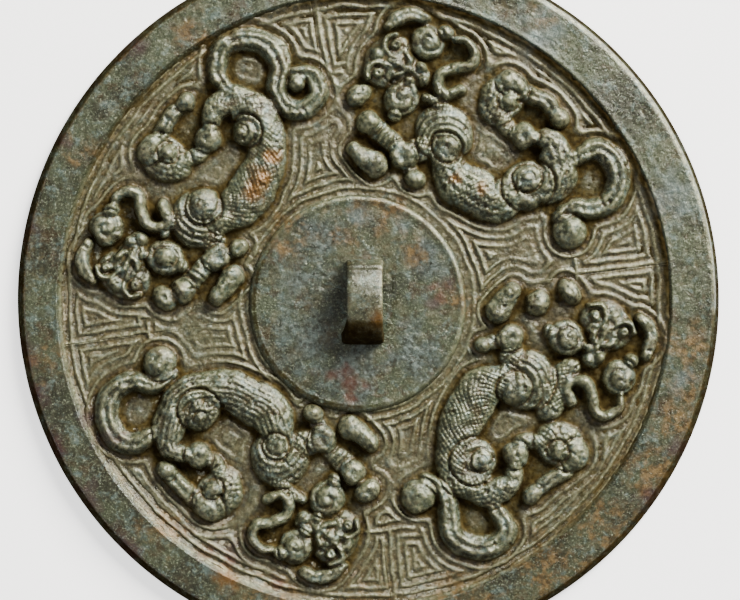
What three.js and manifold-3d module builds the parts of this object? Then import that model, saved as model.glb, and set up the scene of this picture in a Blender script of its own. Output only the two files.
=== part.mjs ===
// A cast bronze mirror, lying on its polished face with the decorated back up.
// One casting: a flat disc with a raised plain rim, a raised plain boss with a strap loop for a cord,
// and four coiled dragons in high relief in the sunken field between them.
// Millimetres. +Z is up, out of the decorated back. z = 0 is the polished face, and the origin is the
// disc's centre.

import * as THREE from "three";
import { mergeVertices } from "three/addons/utils/BufferGeometryUtils.js";
import Module from "manifold-3d";

// The disc
const MIRROR_RADIUS = 70.5;
const FIELD_THICKNESS = 2.4; // from the polished face to the sunken field
const RIM_RISE = 1.3; // from the field up to the rim's flat band
const RIM_WIDTH = 9.2; // from the top of the field's wall to the outer edge, before it was cast off centre
const EDGE_UPRIGHT = 1.5; // height of the upright part of the outer edge; above it the edge leans in
const EDGE_SLOPE = 1.5; // how far the edge leans in on the way up to the band
const EDGE_SEGMENTS = 88;

// The sunken field, cast a little off the disc's centre
const FIELD_CENTRE = [-0.8, -0.4];
const FIELD_SLOPE = 0.9; // how far its wall leans out on the way up
const FIELD_RADIUS = MIRROR_RADIUS - RIM_WIDTH - FIELD_SLOPE; // at its floor

// The plain boss, cast further off centre
const BOSS_RADIUS = 21.8;
const BOSS_RISE = 1.0; // over the field
const BOSS_CENTRE = [-2.2, -0.9];
const BOSS_SLOPE = 0.7;
const BOSS_SEGMENTS = 48;

// The strap loop on the boss; the cord runs through it along X
const LOOP_CENTRE = [-0.7, -0.5];
const LOOP_WIDTH = 7.8; // along X, at the feet
const LOOP_WAIST = 0.8; // how much narrower the strap is at its crown
const LOOP_FOOT = 3.0; // thickness of the strap along Y, at each foot
const LOOP_CROWN = 1.7; // thickness of the strap at its crown
const LOOP_OPENING_LENGTH = 11.2; // along Y, at the boss
const LOOP_OPENING_HEIGHT = 5.6;
const LOOP_STEPS = 10;

// The relief fills the band from the boss to the edge of the field. Dragons are drawn on a square grid
// centred on the disc, and its unit follows the band's width.
const RELIEF_HEIGHT = 3.7; // of the highest knobs over the field; other heights are shares of it
const BAND_SQUARES = 193;
const BAND_START = 109; // the boss's edge, in squares from the disc's centre
const SQUARE = (FIELD_RADIUS - BOSS_RADIUS) / BAND_SQUARES;
const ROOT = 0.5; // how far each form is sunk into what carries it
const BIG_DOME = { sides: 9, profile: [[1, 0], [0.9, 0.5], [0.6, 0.86], [0, 1]] };
const SMALL_DOME = { sides: 6, profile: [[1, 0], [0.74, 0.72], [0, 1]] };
const SMALL = 11; // squares; domes and limbs narrower than this get the plainer forms
const THICK_ARC = [0, 42, 90, 138, 180]; // degrees round a limb's back
const THIN_ARC = [0, 68, 112, 180];
const STEP = 14; // squares between the rings of a limb
const FIRST_AZIMUTH = 147; // degrees, of the first dragon's middle; the others follow clockwise

// Where each part of a dragon lies, in squares, one place for each of the four dragons. The first number
// runs clockwise along the field, the second outwards from the disc's centre.
const PLACES = {
  head: [[-115, 219], [-115, 211], [-110, 215], [-106, 217]],
  horn: [[-127, 256], [-125, 255], [-125, 253], [-115, 254]],
  cheek: [[-83, 258], [-90, 248], [-71, 254], [-75, 247]],
  cheek_knob: [[-66, 264], [-80, 266], [-91, 255], [-66, 260]],
  jaw: [[-76, 193], [-82, 188], [-75, 188], [-79, 190]],
  wisp: [[-45, 241], [-49, 243], [-37, 243], [-37, 241]],
  shoulder: [[-24, 186], [-27, 181], [-18, 177], [-12, 182]],
  shoulder_knob: [[-11, 189], [-18, 170], [-4, 171], [-3, 174]],
  belly: [[38, 158], [32, 149], [40, 145], [46, 150]],
  haunch: [[76, 195], [73, 184], [79, 178], [82, 186]],
  knee: [[47, 222], [42, 222], [50, 209], [57, 223]],
  hind_foot: [[9, 252], [5, 247], [20, 247], [22, 249]],
  claw: [[66, 260], [62, 257], [75, 245], [76, 254]],
  elbow: [[-47, 150], [-49, 140], [-45, 140], [-38, 143]],
  elbow_ball: [[-27, 136], [-27, 127], [-25, 121], [-16, 126]],
  wrist: [[-94, 160], [-96, 149], [-90, 145], [-82, 154]],
  paw: [[-68, 126], [-79, 117], [-73, 115], [-66, 118]],
  ear: [[-110, 172], [-120, 166], [-116, 166], [-104, 161]],
  tail_ball: [[137, 172], [133, 166], [138, 150], [140, 167]],
};

// The tail's centre line in squares, for each dragon, from the haunch to the ball at its tip.
const TAILS = [
  [
    [97, 228], [107, 250], [130, 259], [151, 246], [159, 222],
    [147, 200], [126, 190], [118, 172], [130, 157], [150, 162],
  ],
  [[94, 226], [109, 250], [129, 250], [145, 236], [150, 213], [138, 197], [121, 189], [118, 173]],
  [[104, 216], [118, 241], [137, 241], [152, 224], [152, 200], [136, 184], [120, 169], [121, 148]],
  [[104, 224], [118, 249], [137, 253], [156, 240], [163, 215], [151, 196], [132, 188], [126, 170]],
];

const DRAGONS = TAILS.length;

const wasm = await Module();
wasm.setup();

const bronze = new THREE.MeshStandardMaterial({ color: 0x5f6354, roughness: 0.62, metalness: 0.55 });

// A closed three.js geometry as a solid that can be joined and cut.
function solid(geometry) {
  const bare = geometry.clone();
  bare.deleteAttribute("normal");
  bare.deleteAttribute("uv");
  const merged = mergeVertices(bare, 1e-4);
  return new wasm.Manifold(new wasm.Mesh({
    numProp: 3,
    vertProperties: merged.attributes.position.array,
    triVerts: new Uint32Array(merged.index.array),
  }));
}

// A turned solid about a vertical axis through [x, y]. Its profile of [radius, z] starts and ends on the axis.
function turned(profile, segments, [x, y] = [0, 0]) {
  const points = profile.map(([radius, z]) => new THREE.Vector2(radius, z));
  const geometry = new THREE.LatheGeometry(points, segments);
  return solid(geometry.rotateX(Math.PI / 2).translate(x, y, 0));
}

// The disc: outer edge leaning in, flat rim, sunken field with a sloping wall, and the boss standing in it.
function disc() {
  const top = FIELD_THICKNESS + RIM_RISE;
  const blank = turned([
    [0, 0],
    [MIRROR_RADIUS, 0],
    [MIRROR_RADIUS, EDGE_UPRIGHT],
    [MIRROR_RADIUS - EDGE_SLOPE, top],
    [0, top],
  ], EDGE_SEGMENTS);
  // The cutter's wall goes on at the same slope to twice the height, so that it stands clear of the rim.
  const field = turned([
    [0, FIELD_THICKNESS],
    [FIELD_RADIUS, FIELD_THICKNESS],
    [FIELD_RADIUS + 2 * FIELD_SLOPE, FIELD_THICKNESS + 2 * RIM_RISE],
    [0, FIELD_THICKNESS + 2 * RIM_RISE],
  ], EDGE_SEGMENTS, FIELD_CENTRE);
  const boss = turned([
    [0, FIELD_THICKNESS - ROOT],
    [BOSS_RADIUS, FIELD_THICKNESS - ROOT],
    [BOSS_RADIUS, FIELD_THICKNESS],
    [BOSS_RADIUS - BOSS_SLOPE, FIELD_THICKNESS + BOSS_RISE],
    [0, FIELD_THICKNESS + BOSS_RISE],
  ], BOSS_SEGMENTS, BOSS_CENTRE);
  return blank.subtract(field).add(boss);
}

// The strap loop: an arch over the boss, its feet sunk in it, narrower at the crown.
function loop() {
  const length = LOOP_OPENING_LENGTH + 2 * LOOP_FOOT;
  const crown = LOOP_OPENING_HEIGHT + LOOP_CROWN;
  const arch = (span, height, k) => {
    const turn = (Math.PI * k) / LOOP_STEPS;
    return [(span / 2) * Math.cos(turn), height * Math.sin(turn)];
  };
  const steps = Array.from({ length: LOOP_STEPS + 1 }, (_, k) => k);
  const back = [...steps].reverse();
  const outline = new THREE.Shape();
  outline.moveTo(length / 2, -ROOT);
  for (const k of steps) outline.lineTo(...arch(length, crown, k));
  outline.lineTo(-length / 2, -ROOT);
  outline.lineTo(-LOOP_OPENING_LENGTH / 2, -ROOT);
  for (const k of back) outline.lineTo(...arch(LOOP_OPENING_LENGTH, LOOP_OPENING_HEIGHT, k));
  outline.lineTo(LOOP_OPENING_LENGTH / 2, -ROOT);
  const geometry = new THREE.ExtrudeGeometry(outline, { depth: LOOP_WIDTH, bevelEnabled: false });
  geometry.translate(0, 0, -LOOP_WIDTH / 2);
  const place = geometry.attributes.position;
  for (let i = 0; i < place.count; i += 1) {
    const rise = Math.max(0, place.getY(i)) / crown;
    place.setZ(i, place.getZ(i) * (1 - (LOOP_WAIST / LOOP_WIDTH) * rise));
  }
  // The outline's own axes become Y and Z, and the extrusion becomes X.
  const axes = new THREE.Matrix4().makeBasis(
    new THREE.Vector3(0, 1, 0), new THREE.Vector3(0, 0, 1), new THREE.Vector3(1, 0, 0));
  geometry.applyMatrix4(axes);
  return solid(geometry.translate(...LOOP_CENTRE, FIELD_THICKNESS + BOSS_RISE));
}

// A place on the grid, in millimetres.
function place([u, v]) {
  return [u * SQUARE, BOSS_RADIUS + (v - BAND_START) * SQUARE];
}

// A rounded knob standing on the field: half widths in squares, height as a share, turned by degrees.
function dome(centre, across, along, height, degrees = 0) {
  const { sides, profile } = Math.max(across, along) < SMALL ? SMALL_DOME : BIG_DOME;
  const points = [new THREE.Vector2(0, -ROOT), new THREE.Vector2(1, -ROOT)];
  for (const [radius, rise] of profile) points.push(new THREE.Vector2(radius, rise * height * RELIEF_HEIGHT));
  const geometry = new THREE.LatheGeometry(points, sides).rotateX(Math.PI / 2);
  geometry.scale(across * SQUARE, along * SQUARE, 1);
  geometry.rotateZ(THREE.MathUtils.degToRad(degrees));
  return solid(geometry.translate(...place(centre), FIELD_THICKNESS));
}

// A rounded limb along a smooth line through the given places: half widths in squares at equal steps of
// the line, height as a share. Each ring is half an ellipse on a sunken root, and the ends are blunt.
function limb(line, halves, height, step = STEP) {
  const through = line.map((spot) => new THREE.Vector3(...place(spot), 0));
  const curve = new THREE.CatmullRomCurve3(through, false, "centripetal");
  const steps = Math.max(2, Math.round(curve.getLength() / (step * SQUARE)));
  const arc = Math.max(...halves) < SMALL ? THIN_ARC : THICK_ARC;
  const angles = arc.map((degrees) => THREE.MathUtils.degToRad(degrees));
  const section = [[1, -1], ...angles.map((angle) => [Math.cos(angle), Math.sin(angle)]), [-1, -1]];
  const positions = [];
  for (let i = 0; i <= steps; i += 1) {
    const at = curve.getPointAt(i / steps);
    const way = curve.getTangentAt(i / steps);
    const spot = (i / steps) * (halves.length - 1);
    const before = Math.min(Math.floor(spot), halves.length - 2);
    const half = THREE.MathUtils.lerp(halves[before], halves[before + 1], spot - before) * SQUARE;
    for (const [side, up] of section) {
      const rise = up < 0 ? -ROOT : up * height * RELIEF_HEIGHT;
      positions.push(at.x - way.y * side * half, at.y + way.x * side * half, FIELD_THICKNESS + rise);
    }
  }
  const n = section.length;
  const index = [];
  for (let i = 0; i < steps; i += 1) {
    for (let k = 0; k < n; k += 1) {
      const a = i * n + k;
      const b = i * n + ((k + 1) % n);
      index.push(a, b, a + n, b, b + n, a + n);
    }
  }
  for (let k = 1; k < n - 1; k += 1) {
    index.push(0, k + 1, k);
    index.push(steps * n, steps * n + k, steps * n + k + 1);
  }
  const geometry = new THREE.BufferGeometry();
  geometry.setAttribute("position", new THREE.BufferAttribute(new Float32Array(positions), 3));
  geometry.setIndex(index);
  return solid(geometry);
}

// One dragon in its own quarter: the first axis clockwise, the second outwards.
function dragon(which) {
  const at = (name, du = 0, dv = 0) => [PLACES[name][which][0] + du, PLACES[name][which][1] + dv];
  const forms = [
    // Head: skull, brow, two bulging eyes, snout, horn, ear and the curled cheek and jaw
    dome(at("head", 3, 0), 23, 29, 0.6),
    dome(at("head", -6, 1), 10, 10, 0.78),
    dome(at("head", -1, 19), 8, 8, 0.78),
    dome(at("head", 2, -18), 8, 8, 0.78),
    limb([at("head", 12, 1), at("head", 26, 3), at("head", 38, 5)], [18, 16, 11], 0.57),
    limb([at("horn", -8, -16), at("horn", -4, -3), at("horn", 6, 7), at("horn", 20, 10)], [4, 8, 8, 5], 0.6),
    dome(at("ear"), 12, 12, 0.68),
    dome(at("cheek"), 18, 17, 0.73),
    dome(at("cheek_knob"), 9, 8, 0.78),
    dome(at("jaw"), 17, 20, 0.76),
    dome(at("jaw", 3, -18), 8, 8, 0.65),
    limb([
      at("wisp", -19, 22), at("wisp", -8, 26), at("wisp", 5, 20), at("wisp", 7, 8), at("wisp", -4, -2),
      at("wisp", -12, -14), at("wisp", -8, -26), at("wisp", 3, -29), at("wisp", 12, -17),
    ], [4, 7, 7, 8, 7], 0.62, 11),
    // Trunk: neck, shoulder, haunch, and the back that runs from one to the other and wraps the haunch
    limb([at("jaw", 14, 16), at("shoulder", -18, 26), at("shoulder", 6, 20)], [12, 15, 16], 0.51),
    dome(at("shoulder"), 30, 28, 0.65),
    dome(at("shoulder_knob"), 15, 14, 0.89),
    limb([
      at("shoulder", 10, -18), at("belly", -26, -1), at("belly"), at("belly", 26, 3),
      at("haunch", 14, -22), at("haunch", 23, 0), at("haunch", 16, 26), at("knee", 18, 10), at("knee", 4, 4),
    ], [18, 23, 23, 22, 19, 16, 15, 13, 9], 0.76),
    dome(at("haunch", -3, 0), 23, 23, 0.86),
    dome(at("haunch", -3, 4), 10, 10, 1),
    // Hind leg: knee, the calf that wraps the curled foot, and the claws
    dome(at("knee"), 14, 14, 0.78),
    limb([
      at("knee"), at("hind_foot", 18, -26), at("hind_foot", 0, -25), at("hind_foot", -14, -12),
    ], [8, 11, 11, 8], 0.57),
    dome(at("hind_foot"), 20, 21, 0.68),
    dome(at("hind_foot", 4, -3), 9, 9, 0.84),
    limb([at("hind_foot", 14, 8), at("claw", -16, 3), at("claw")], [13, 11, 8], 0.57),
    dome(at("claw"), 10, 10, 0.73),
    // Forelegs: elbow with its ball, wrist and paw
    limb([at("shoulder", -8, -20), at("elbow", 2, 2)], [14, 12], 0.54),
    dome(at("elbow"), 15, 14, 0.68),
    limb([at("elbow"), at("elbow_ball")], [10, 10], 0.57),
    dome(at("elbow_ball"), 11, 10, 0.7),
    limb([at("wrist"), at("elbow", -8, 4)], [12, 10], 0.57),
    dome(at("wrist"), 14, 13, 0.7),
    dome(at("paw"), 22, 12, 0.73, -3),
    // Tail, ending in its ball
    limb(TAILS[which], [8, 11, 12, 12, 11, 10, 9], 0.6),
    dome(at("tail_ball"), 18, 17, 0.73),
  ];
  const figure = wasm.Manifold.union(forms);
  return figure.rotate([0, 0, FIRST_AZIMUTH - 90 - (360 / DRAGONS) * which]);
}

// A finished solid as a three.js mesh.
function mesh(name, made) {
  const { vertProperties, triVerts } = made.getMesh();
  const geometry = new THREE.BufferGeometry();
  geometry.setAttribute("position", new THREE.BufferAttribute(Float32Array.from(vertProperties), 3));
  geometry.setIndex(new THREE.BufferAttribute(Uint32Array.from(triVerts), 1));
  geometry.computeVertexNormals();
  const finished = new THREE.Mesh(geometry, bronze);
  finished.name = name;
  return finished;
}

const dragons = Array.from({ length: DRAGONS }, (_, which) => dragon(which));
const mirror = wasm.Manifold.union([disc(), loop(), ...dragons]);

const object = new THREE.Group();
object.add(mesh("mirror", mirror));

export default object;
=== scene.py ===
# %% [markdown]
# # A cast bronze mirror, seen from its decorated back
#
# The mirror was cast in one go in a clay mould: a disc that was polished on one side, and on the other side
# a plain rim, a plain boss with a loop for a cord, and four dragons on a ground of fine lines. It lies on
# its polished side. The solid model of the casting comes first, as the frame that everything else keeps to.

# %% The frame
import math

import bpy
import numpy as np
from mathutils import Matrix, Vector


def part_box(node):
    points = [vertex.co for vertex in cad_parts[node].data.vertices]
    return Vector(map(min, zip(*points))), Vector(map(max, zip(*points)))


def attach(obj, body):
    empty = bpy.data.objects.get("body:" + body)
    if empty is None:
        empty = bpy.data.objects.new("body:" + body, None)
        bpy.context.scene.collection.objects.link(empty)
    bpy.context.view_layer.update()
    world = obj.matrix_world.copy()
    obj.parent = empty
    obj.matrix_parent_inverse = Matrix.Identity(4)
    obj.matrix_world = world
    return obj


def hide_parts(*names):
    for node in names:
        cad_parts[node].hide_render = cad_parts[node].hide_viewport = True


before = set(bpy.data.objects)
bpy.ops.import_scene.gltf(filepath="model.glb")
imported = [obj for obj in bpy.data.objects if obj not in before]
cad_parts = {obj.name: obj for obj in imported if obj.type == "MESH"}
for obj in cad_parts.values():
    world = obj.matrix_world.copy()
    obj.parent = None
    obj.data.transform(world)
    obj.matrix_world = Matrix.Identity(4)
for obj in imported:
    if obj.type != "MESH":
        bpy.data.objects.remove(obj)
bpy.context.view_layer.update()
MM = 0.001
low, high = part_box("mirror")
MIRROR_RADIUS = (high[0] - low[0]) / 2 / MM
print("the solid mirror is", round(2 * MIRROR_RADIUS, 1), "mm across and", round(high[2] / MM, 1), "mm high")

# %% [markdown]
# ## Sizes
#
# All shapes below are worked out in millimetres, with the origin at the middle of the polished face, and
# are put into their meshes in metres. The field is the sunken ring between the boss and the rim. Neither it
# nor the boss was cast quite in the middle of the disc, and that is kept: a true circle would look
# machined.

# %% Sizes of the casting, in millimetres
FIELD_THICKNESS = 2.4
RIM_RISE = 1.3
RIM_WIDTH = 9.2
EDGE_UPRIGHT = 1.5
EDGE_SLOPE = 1.5
FIELD_SLOPE = 0.9
FIELD_RADIUS = MIRROR_RADIUS - RIM_WIDTH - FIELD_SLOPE
FIELD_CENTRE = np.array([-0.8, -0.4])
BOSS_RADIUS = 21.8
BOSS_RISE = 1.0
BOSS_CENTRE = np.array([-2.2, -0.9])
RELIEF_HEIGHT = 3.7

# %% [markdown]
# ## Noise
#
# A long time in the ground leaves no surface smooth. Blender has noise in its materials, but dents that
# catch the light on an edge have to be in the mesh. A cheap way is value noise: random numbers on a coarse
# square lattice, and a smooth step from each to the next. Several sizes of it are added.

# %% A bumpy surface from random numbers
LATTICE = 64


def value_noise(x, y, size, seed):
    """Random values in -1..1 on a lattice of the given size, blended by the smooth step 3t^2 - 2t^3."""
    lattice = np.random.default_rng(seed).uniform(-1, 1, (LATTICE, LATTICE))
    fx = np.floor(x / size)
    fy = np.floor(y / size)
    tx = x / size - fx
    ty = y / size - fy
    tx = tx * tx * (3 - 2 * tx)
    ty = ty * ty * (3 - 2 * ty)
    i = fx.astype(int) % LATTICE
    j = fy.astype(int) % LATTICE
    next_i = (i + 1) % LATTICE
    next_j = (j + 1) % LATTICE
    near = lattice[i, j] * (1 - tx) + lattice[next_i, j] * tx
    far = lattice[i, next_j] * (1 - tx) + lattice[next_i, next_j] * tx
    return near * (1 - ty) + far * ty


def rough(x, y, size, seed, octaves=3):
    """Value noise of a size, plus half as much of half the size, and so on."""
    total = np.zeros_like(x)
    for k in range(octaves):
        turned_x = x * 0.8 - y * 0.6
        turned_y = x * 0.6 + y * 0.8
        x = turned_x
        y = turned_y
        total += value_noise(x, y, size / 2**k, seed + k) / 2**k
    return total


def ease(value, start, end):
    """Goes smoothly from 0 at start to 1 at end."""
    t = np.clip((value - start) / (end - start), 0, 1)
    return t * t * (3 - 2 * t)


def bump(value, middle, width):
    """1 at the middle and less on both sides of it: exp(-((value - middle) / width)^2)."""
    return np.exp(-(((value - middle) / width) ** 2))


def facing(x, y, degrees):
    """1 for a point that lies towards an azimuth, 0 at right angles to it, -1 opposite."""
    return np.cos(np.arctan2(y, x) - math.radians(degrees))


# %% [markdown]
# ## Where the dragons' parts lie
#
# The four dragons are brothers, not copies: the model cutter drew each one by hand in the clay. So they
# share their parts and the way these are put together, but each has its own places. Places are on a square
# grid that is turned with the dragon: the first number runs clockwise round the mirror, the second
# outwards.

# %% The places, in squares
BAND_SQUARES = 193
SQUARE = (FIELD_RADIUS - BOSS_RADIUS) / BAND_SQUARES
DRAGON_AZIMUTHS = [147, 57, -33, -123]
PLACES = {
    "head": [(-115, 219), (-115, 211), (-110, 215), (-106, 217)],
    "horn": [(-127, 256), (-125, 255), (-125, 253), (-115, 254)],
    "cheek": [(-83, 258), (-90, 248), (-71, 254), (-75, 247)],
    "cheek_knob": [(-66, 264), (-80, 266), (-91, 255), (-66, 260)],
    "jaw": [(-76, 193), (-82, 188), (-75, 188), (-74, 190)],
    "wisp": [(-45, 241), (-49, 243), (-37, 243), (-37, 241)],
    "shoulder": [(-24, 186), (-27, 181), (-18, 177), (-12, 182)],
    "shoulder_knob": [(-11, 189), (-18, 170), (-4, 171), (-3, 174)],
    "belly": [(38, 158), (32, 149), (40, 145), (46, 150)],
    "haunch": [(76, 195), (73, 184), (79, 178), (82, 186)],
    "knee": [(47, 222), (42, 222), (50, 209), (57, 223)],
    "hind_foot": [(9, 252), (5, 247), (20, 247), (22, 249)],
    "claw": [(66, 260), (62, 257), (75, 245), (76, 254)],
    "elbow": [(-47, 150), (-49, 140), (-45, 140), (-38, 143)],
    "elbow_ball": [(-27, 136), (-27, 127), (-25, 121), (-16, 126)],
    "wrist": [(-94, 160), (-96, 149), (-90, 145), (-82, 154)],
    "paw": [(-68, 126), (-79, 117), (-73, 115), (-66, 118)],
    "ear": [(-110, 172), (-120, 166), (-116, 166), (-104, 161)],
    "tail_ball": [(143, 178), (133, 166), (138, 150), (140, 167)],
}
TAILS = [
    [(97, 228), (107, 250), (130, 259), (151, 246), (159, 222), (147, 200), (126, 190), (118, 172),
     (127, 157), (146, 155), (157, 170), (150, 184)],
    [(94, 226), (109, 250), (129, 250), (145, 236), (150, 213), (138, 197), (121, 189), (118, 173)],
    [(104, 216), (118, 241), (137, 241), (152, 224), (152, 200), (136, 184), (120, 169), (121, 148)],
    [(104, 224), (118, 249), (137, 253), (156, 240), (163, 215), (151, 196), (132, 188), (126, 170)],
]

# %% [markdown]
# ## Forms
#
# Every part of a dragon is one of two forms, as the cutter's tools made them: a dome pressed or turned in
# place, and a limb drawn along a line. Each is a height over the field for every point of a grid, nothing
# outside its outline and full in the middle. Each also gives its own two coordinates, so that scales,
# ridges and whorls can follow it. A form only works on the points near it, picked out with a mask.

# %% Domes and limbs as heights


def dome(u, v, centre, across, along, degrees=0.0):
    """Rise (1 - rho^2.2)^0.6 over an ellipse, where rho is 0 in its middle and 1 on its outline."""
    turn = math.radians(degrees)
    du = u - centre[0]
    dv = v - centre[1]
    p = (du * math.cos(turn) + dv * math.sin(turn)) / across
    q = (dv * math.cos(turn) - du * math.sin(turn)) / along
    rho = np.hypot(p, q)
    outside = (rho - 1) * min(across, along)
    rise = np.clip(1 - np.minimum(rho, 1) ** 2.2, 0, 1) ** 0.6
    return rise, outside, rho, np.arctan2(q, p)


def smooth_line(points, step=1.5):
    """Catmull-Rom curve through the points: cubic between two, with slopes from the points on each side."""
    knots = np.array(points, float)
    padded = np.vstack([2 * knots[0] - knots[1], knots, 2 * knots[-1] - knots[-2]])
    length = np.hypot(*np.diff(knots, axis=0).T).sum()
    t = np.linspace(0, len(knots) - 1 - 1e-9, max(8, int(length / step)))
    k = t.astype(int)
    f = (t - k)[:, None]
    a, b, c, d = padded[k], padded[k + 1], padded[k + 2], padded[k + 3]
    return 0.5 * (2 * b + (c - a) * f + (2 * a - 5 * b + 4 * c - d) * f**2 + (3 * b - a - 3 * c + d) * f**3)


def limb(u, v, points, halves):
    """Rise (1 - s^2)^0.55, where s is the distance from a smooth line over the half width at that place."""
    line = smooth_line(points)
    run = np.concatenate([[0], np.cumsum(np.hypot(*np.diff(line, axis=0).T))])
    du = u[:, None] - line[None, :, 0]
    dv = v[:, None] - line[None, :, 1]
    nearest = np.argmin(du * du + dv * dv, axis=1)
    way = np.gradient(line, axis=0)[nearest]
    way /= np.hypot(way[:, 0], way[:, 1])[:, None]
    pick = np.arange(len(u))
    du = du[pick, nearest]
    dv = dv[pick, nearest]
    step = run[1] - run[0]
    ahead = du * way[:, 0] + dv * way[:, 1]
    at_end = ((nearest == 0) & (ahead < 0)) | ((nearest == len(line) - 1) & (ahead > 0))
    beyond = np.where(at_end, ahead, ahead - np.clip(ahead, -step, step))
    across = way[:, 0] * dv - way[:, 1] * du
    along = run[nearest] + ahead - beyond
    half = np.interp(along / run[-1], np.linspace(0, 1, len(halves)), halves)
    distance = np.hypot(across, beyond)
    rise = np.clip(1 - np.minimum(distance / half, 1) ** 2, 0, 1) ** 0.55
    return rise, distance - half, along, across


# %% [markdown]
# ## What is cut into the forms
#
# On the bodies there are rows of small scales, like fish skin. Cheeks and jaws have a whorl, a groove that
# winds out from the middle. Tails, horns and claws have ridges along them, forelegs have grooves across, and
# the eyes are a ring round a pit. Each is a small wave added to the height, in the form's own coordinates.

# %% Carving, in millimetres
SCALE_PITCH = 5.4
SCALE_DEPTH = 0.4


def scales(along, across, pitch=SCALE_PITCH):
    """Staggered beads: the product of two cosine waves that run along the two diagonals."""
    p = along / pitch
    q = across / pitch
    beads = np.cos(math.pi * (p + q)) * np.cos(math.pi * (p - q))
    return SCALE_DEPTH * (np.sqrt(np.abs(beads)) - 0.55)


def ring_scales(rho, theta, half, pitch=SCALE_PITCH):
    """Scales in rings round a middle: as many beads to each ring as its length in pitches, staggered."""
    ring = np.floor(rho * half / pitch)
    count = np.round(2 * math.pi * (ring + 0.5))
    beads = np.cos(theta * count / 2 + math.pi / 2 * (ring % 2)) * np.sin(math.pi * rho * half / pitch)
    return SCALE_DEPTH * (np.sqrt(np.abs(beads)) - 0.55)


def wave(value, pitch):
    """A cosine wave with a crest at every whole number of pitches."""
    return np.cos(2 * math.pi * value / pitch)


def ridges(across, pitch):
    """Ridges along a form: a cosine wave across it, with the middle in a groove."""
    return 0.2 * np.cos(2 * math.pi * (across / pitch + 0.5))


def whorl(rho, theta, turns, depth=0.55, hand=1):
    """A groove that winds out: a narrow dip wherever turns * rho - theta / (2 pi) is a whole number."""
    phase = turns * rho - hand * theta / (2 * math.pi)
    dip = (0.5 + 0.5 * np.cos(2 * math.pi * phase)) ** 3
    return -depth * dip * ease(rho, 0.08, 0.2) * (1 - ease(rho, 0.84, 0.98))


def eye(rho):
    """A raised ring at two thirds of the outline, and a pit in the middle."""
    return 0.35 * bump(rho, 0.66, 0.2) - 0.7 * bump(rho, 0, 0.3)


# %% [markdown]
# ## One dragon
#
# The parts are laid over each other in the order of the lists below. Each has its place, its size in
# squares, its height as a share of the relief's, and what is cut into it. Where two overlap the higher one
# wins, with a slightly softened crease, as in a casting whose mould was damp clay. The same walk over the
# parts also keeps the distance to the nearest outline, which the lines of the ground follow.

# %% What differs from dragon to dragon, beside the places
FORELEG_RISE = {0: 0.57, 1: 0.57, 3: 0.40}
HAUNCHES = [("plain", 16, 7), ("ring", 26, 14), ("ring", 23, 11), ("round_scales", 21, 6)]
KNOB_SIZES = [(19, 18), (15, 14), (18, 17), (13, 13)]
BALL_SIZES = [(10, 10), (12, 10), (9, 9), (11, 10)]
TAIL_SIZES = [(9, 9), (18, 18), (18, 18), (18, 18)]
BACK_FINISH = ["faint", "ridged", "beaded", "rows"]
ROW_BEADS = [0.3, 0.4, 0.5, 1.0]


def place_of(which):
    """A function that gives the place of one dragon's part by its name, moved by some squares."""

    def at(name, du=0, dv=0):
        place = PLACES[name][which]
        return (place[0] + du, place[1] + dv)

    return at


# %% [markdown]
# The tail, the legs and the neck come first, because everything else lies over them. The lower right dragon
# stretches a thicker neck and hides its foreleg.

# %% Tail, legs and neck


def tail_and_legs(which, at):
    """The parts that the trunk and the joints lie over."""
    neck = ([at("jaw", 20, 14), at("shoulder", -22, 22), at("shoulder", 2, 14)], [5, 9, 14])
    if which == 2:
        neck = ([at("jaw", 24, 20), at("shoulder", -12, 28), at("shoulder", 10, 34)], [12, 18, 15])
    calf_line = [at("knee"), at("knee", -14, -2), at("hind_foot", 4, -20)]
    forms = [
        ("limb", (TAILS[which], [8, 12, 13, 13, 12, 11, 9]), 0.60, "tail"),
        ("dome", (at("tail_ball"), *TAIL_SIZES[which]), 0.78, "ball"),
        ("limb", ([at("shoulder", -8, -20), at("elbow", 2, 2)], [14, 12]), 0.54, "scales"),
        ("limb", ([at("elbow"), at("elbow_ball")], [9, 8]), 0.50, "plain"),
        ("limb", (calf_line, [8, 9, 9]), 0.55, "scales"),
        ("limb", ([at("hind_foot", 16, 12), at("claw", -18, 5), at("claw")], [10, 9, 9]), 0.57, "ridges"),
        ("limb", neck, 0.50, "scales"),
        ("dome", (at("shoulder"), 31, 29), 0.70, "rows"),
    ]
    if which in FORELEG_RISE:
        foreleg_line = [at("wrist"), at("elbow", -8, 4)]
        forms.append(("limb", (foreleg_line, [12, 10]), FORELEG_RISE[which], "stripes"))
    return forms


# %% [markdown]
# The trunk is one long limb from the shoulder over the belly and round the haunch to the knee. On the upper
# right dragon it turns too sharply at the haunch for one smooth line, so there it is two.

# %% The trunk


def trunk(which, at):
    """The body from the shoulder to the knee."""
    back_line = [at("shoulder", 10, -18), at("belly", -24, -1), at("belly"), at("belly", 22, 3)]
    haunch_line = [at("haunch", 18, 13), at("haunch", 15, 30), at("knee", 26, 10), at("knee", 8, 4)]
    if which == 1:
        return [
            ("limb", (back_line + [at("haunch", -8, -8)], [15, 22, 24, 22, 16]), 0.76, "back"),
            ("limb", ([at("haunch", 6, 0)] + haunch_line, [18, 20, 20, 19, 14, 8]), 0.76, "back"),
        ]
    whole_line = back_line + [at("haunch", 10, -17), at("haunch", 20, -3)] + haunch_line
    return [("limb", (whole_line, [15, 22, 24, 22, 20, 19, 19, 18, 13, 8]), 0.76, "back")]


# %% [markdown]
# Joints and feet are mostly domes, as knobs and coils. Those on the shoulder and the haunch are the highest.

# %% Joints and feet


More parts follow.
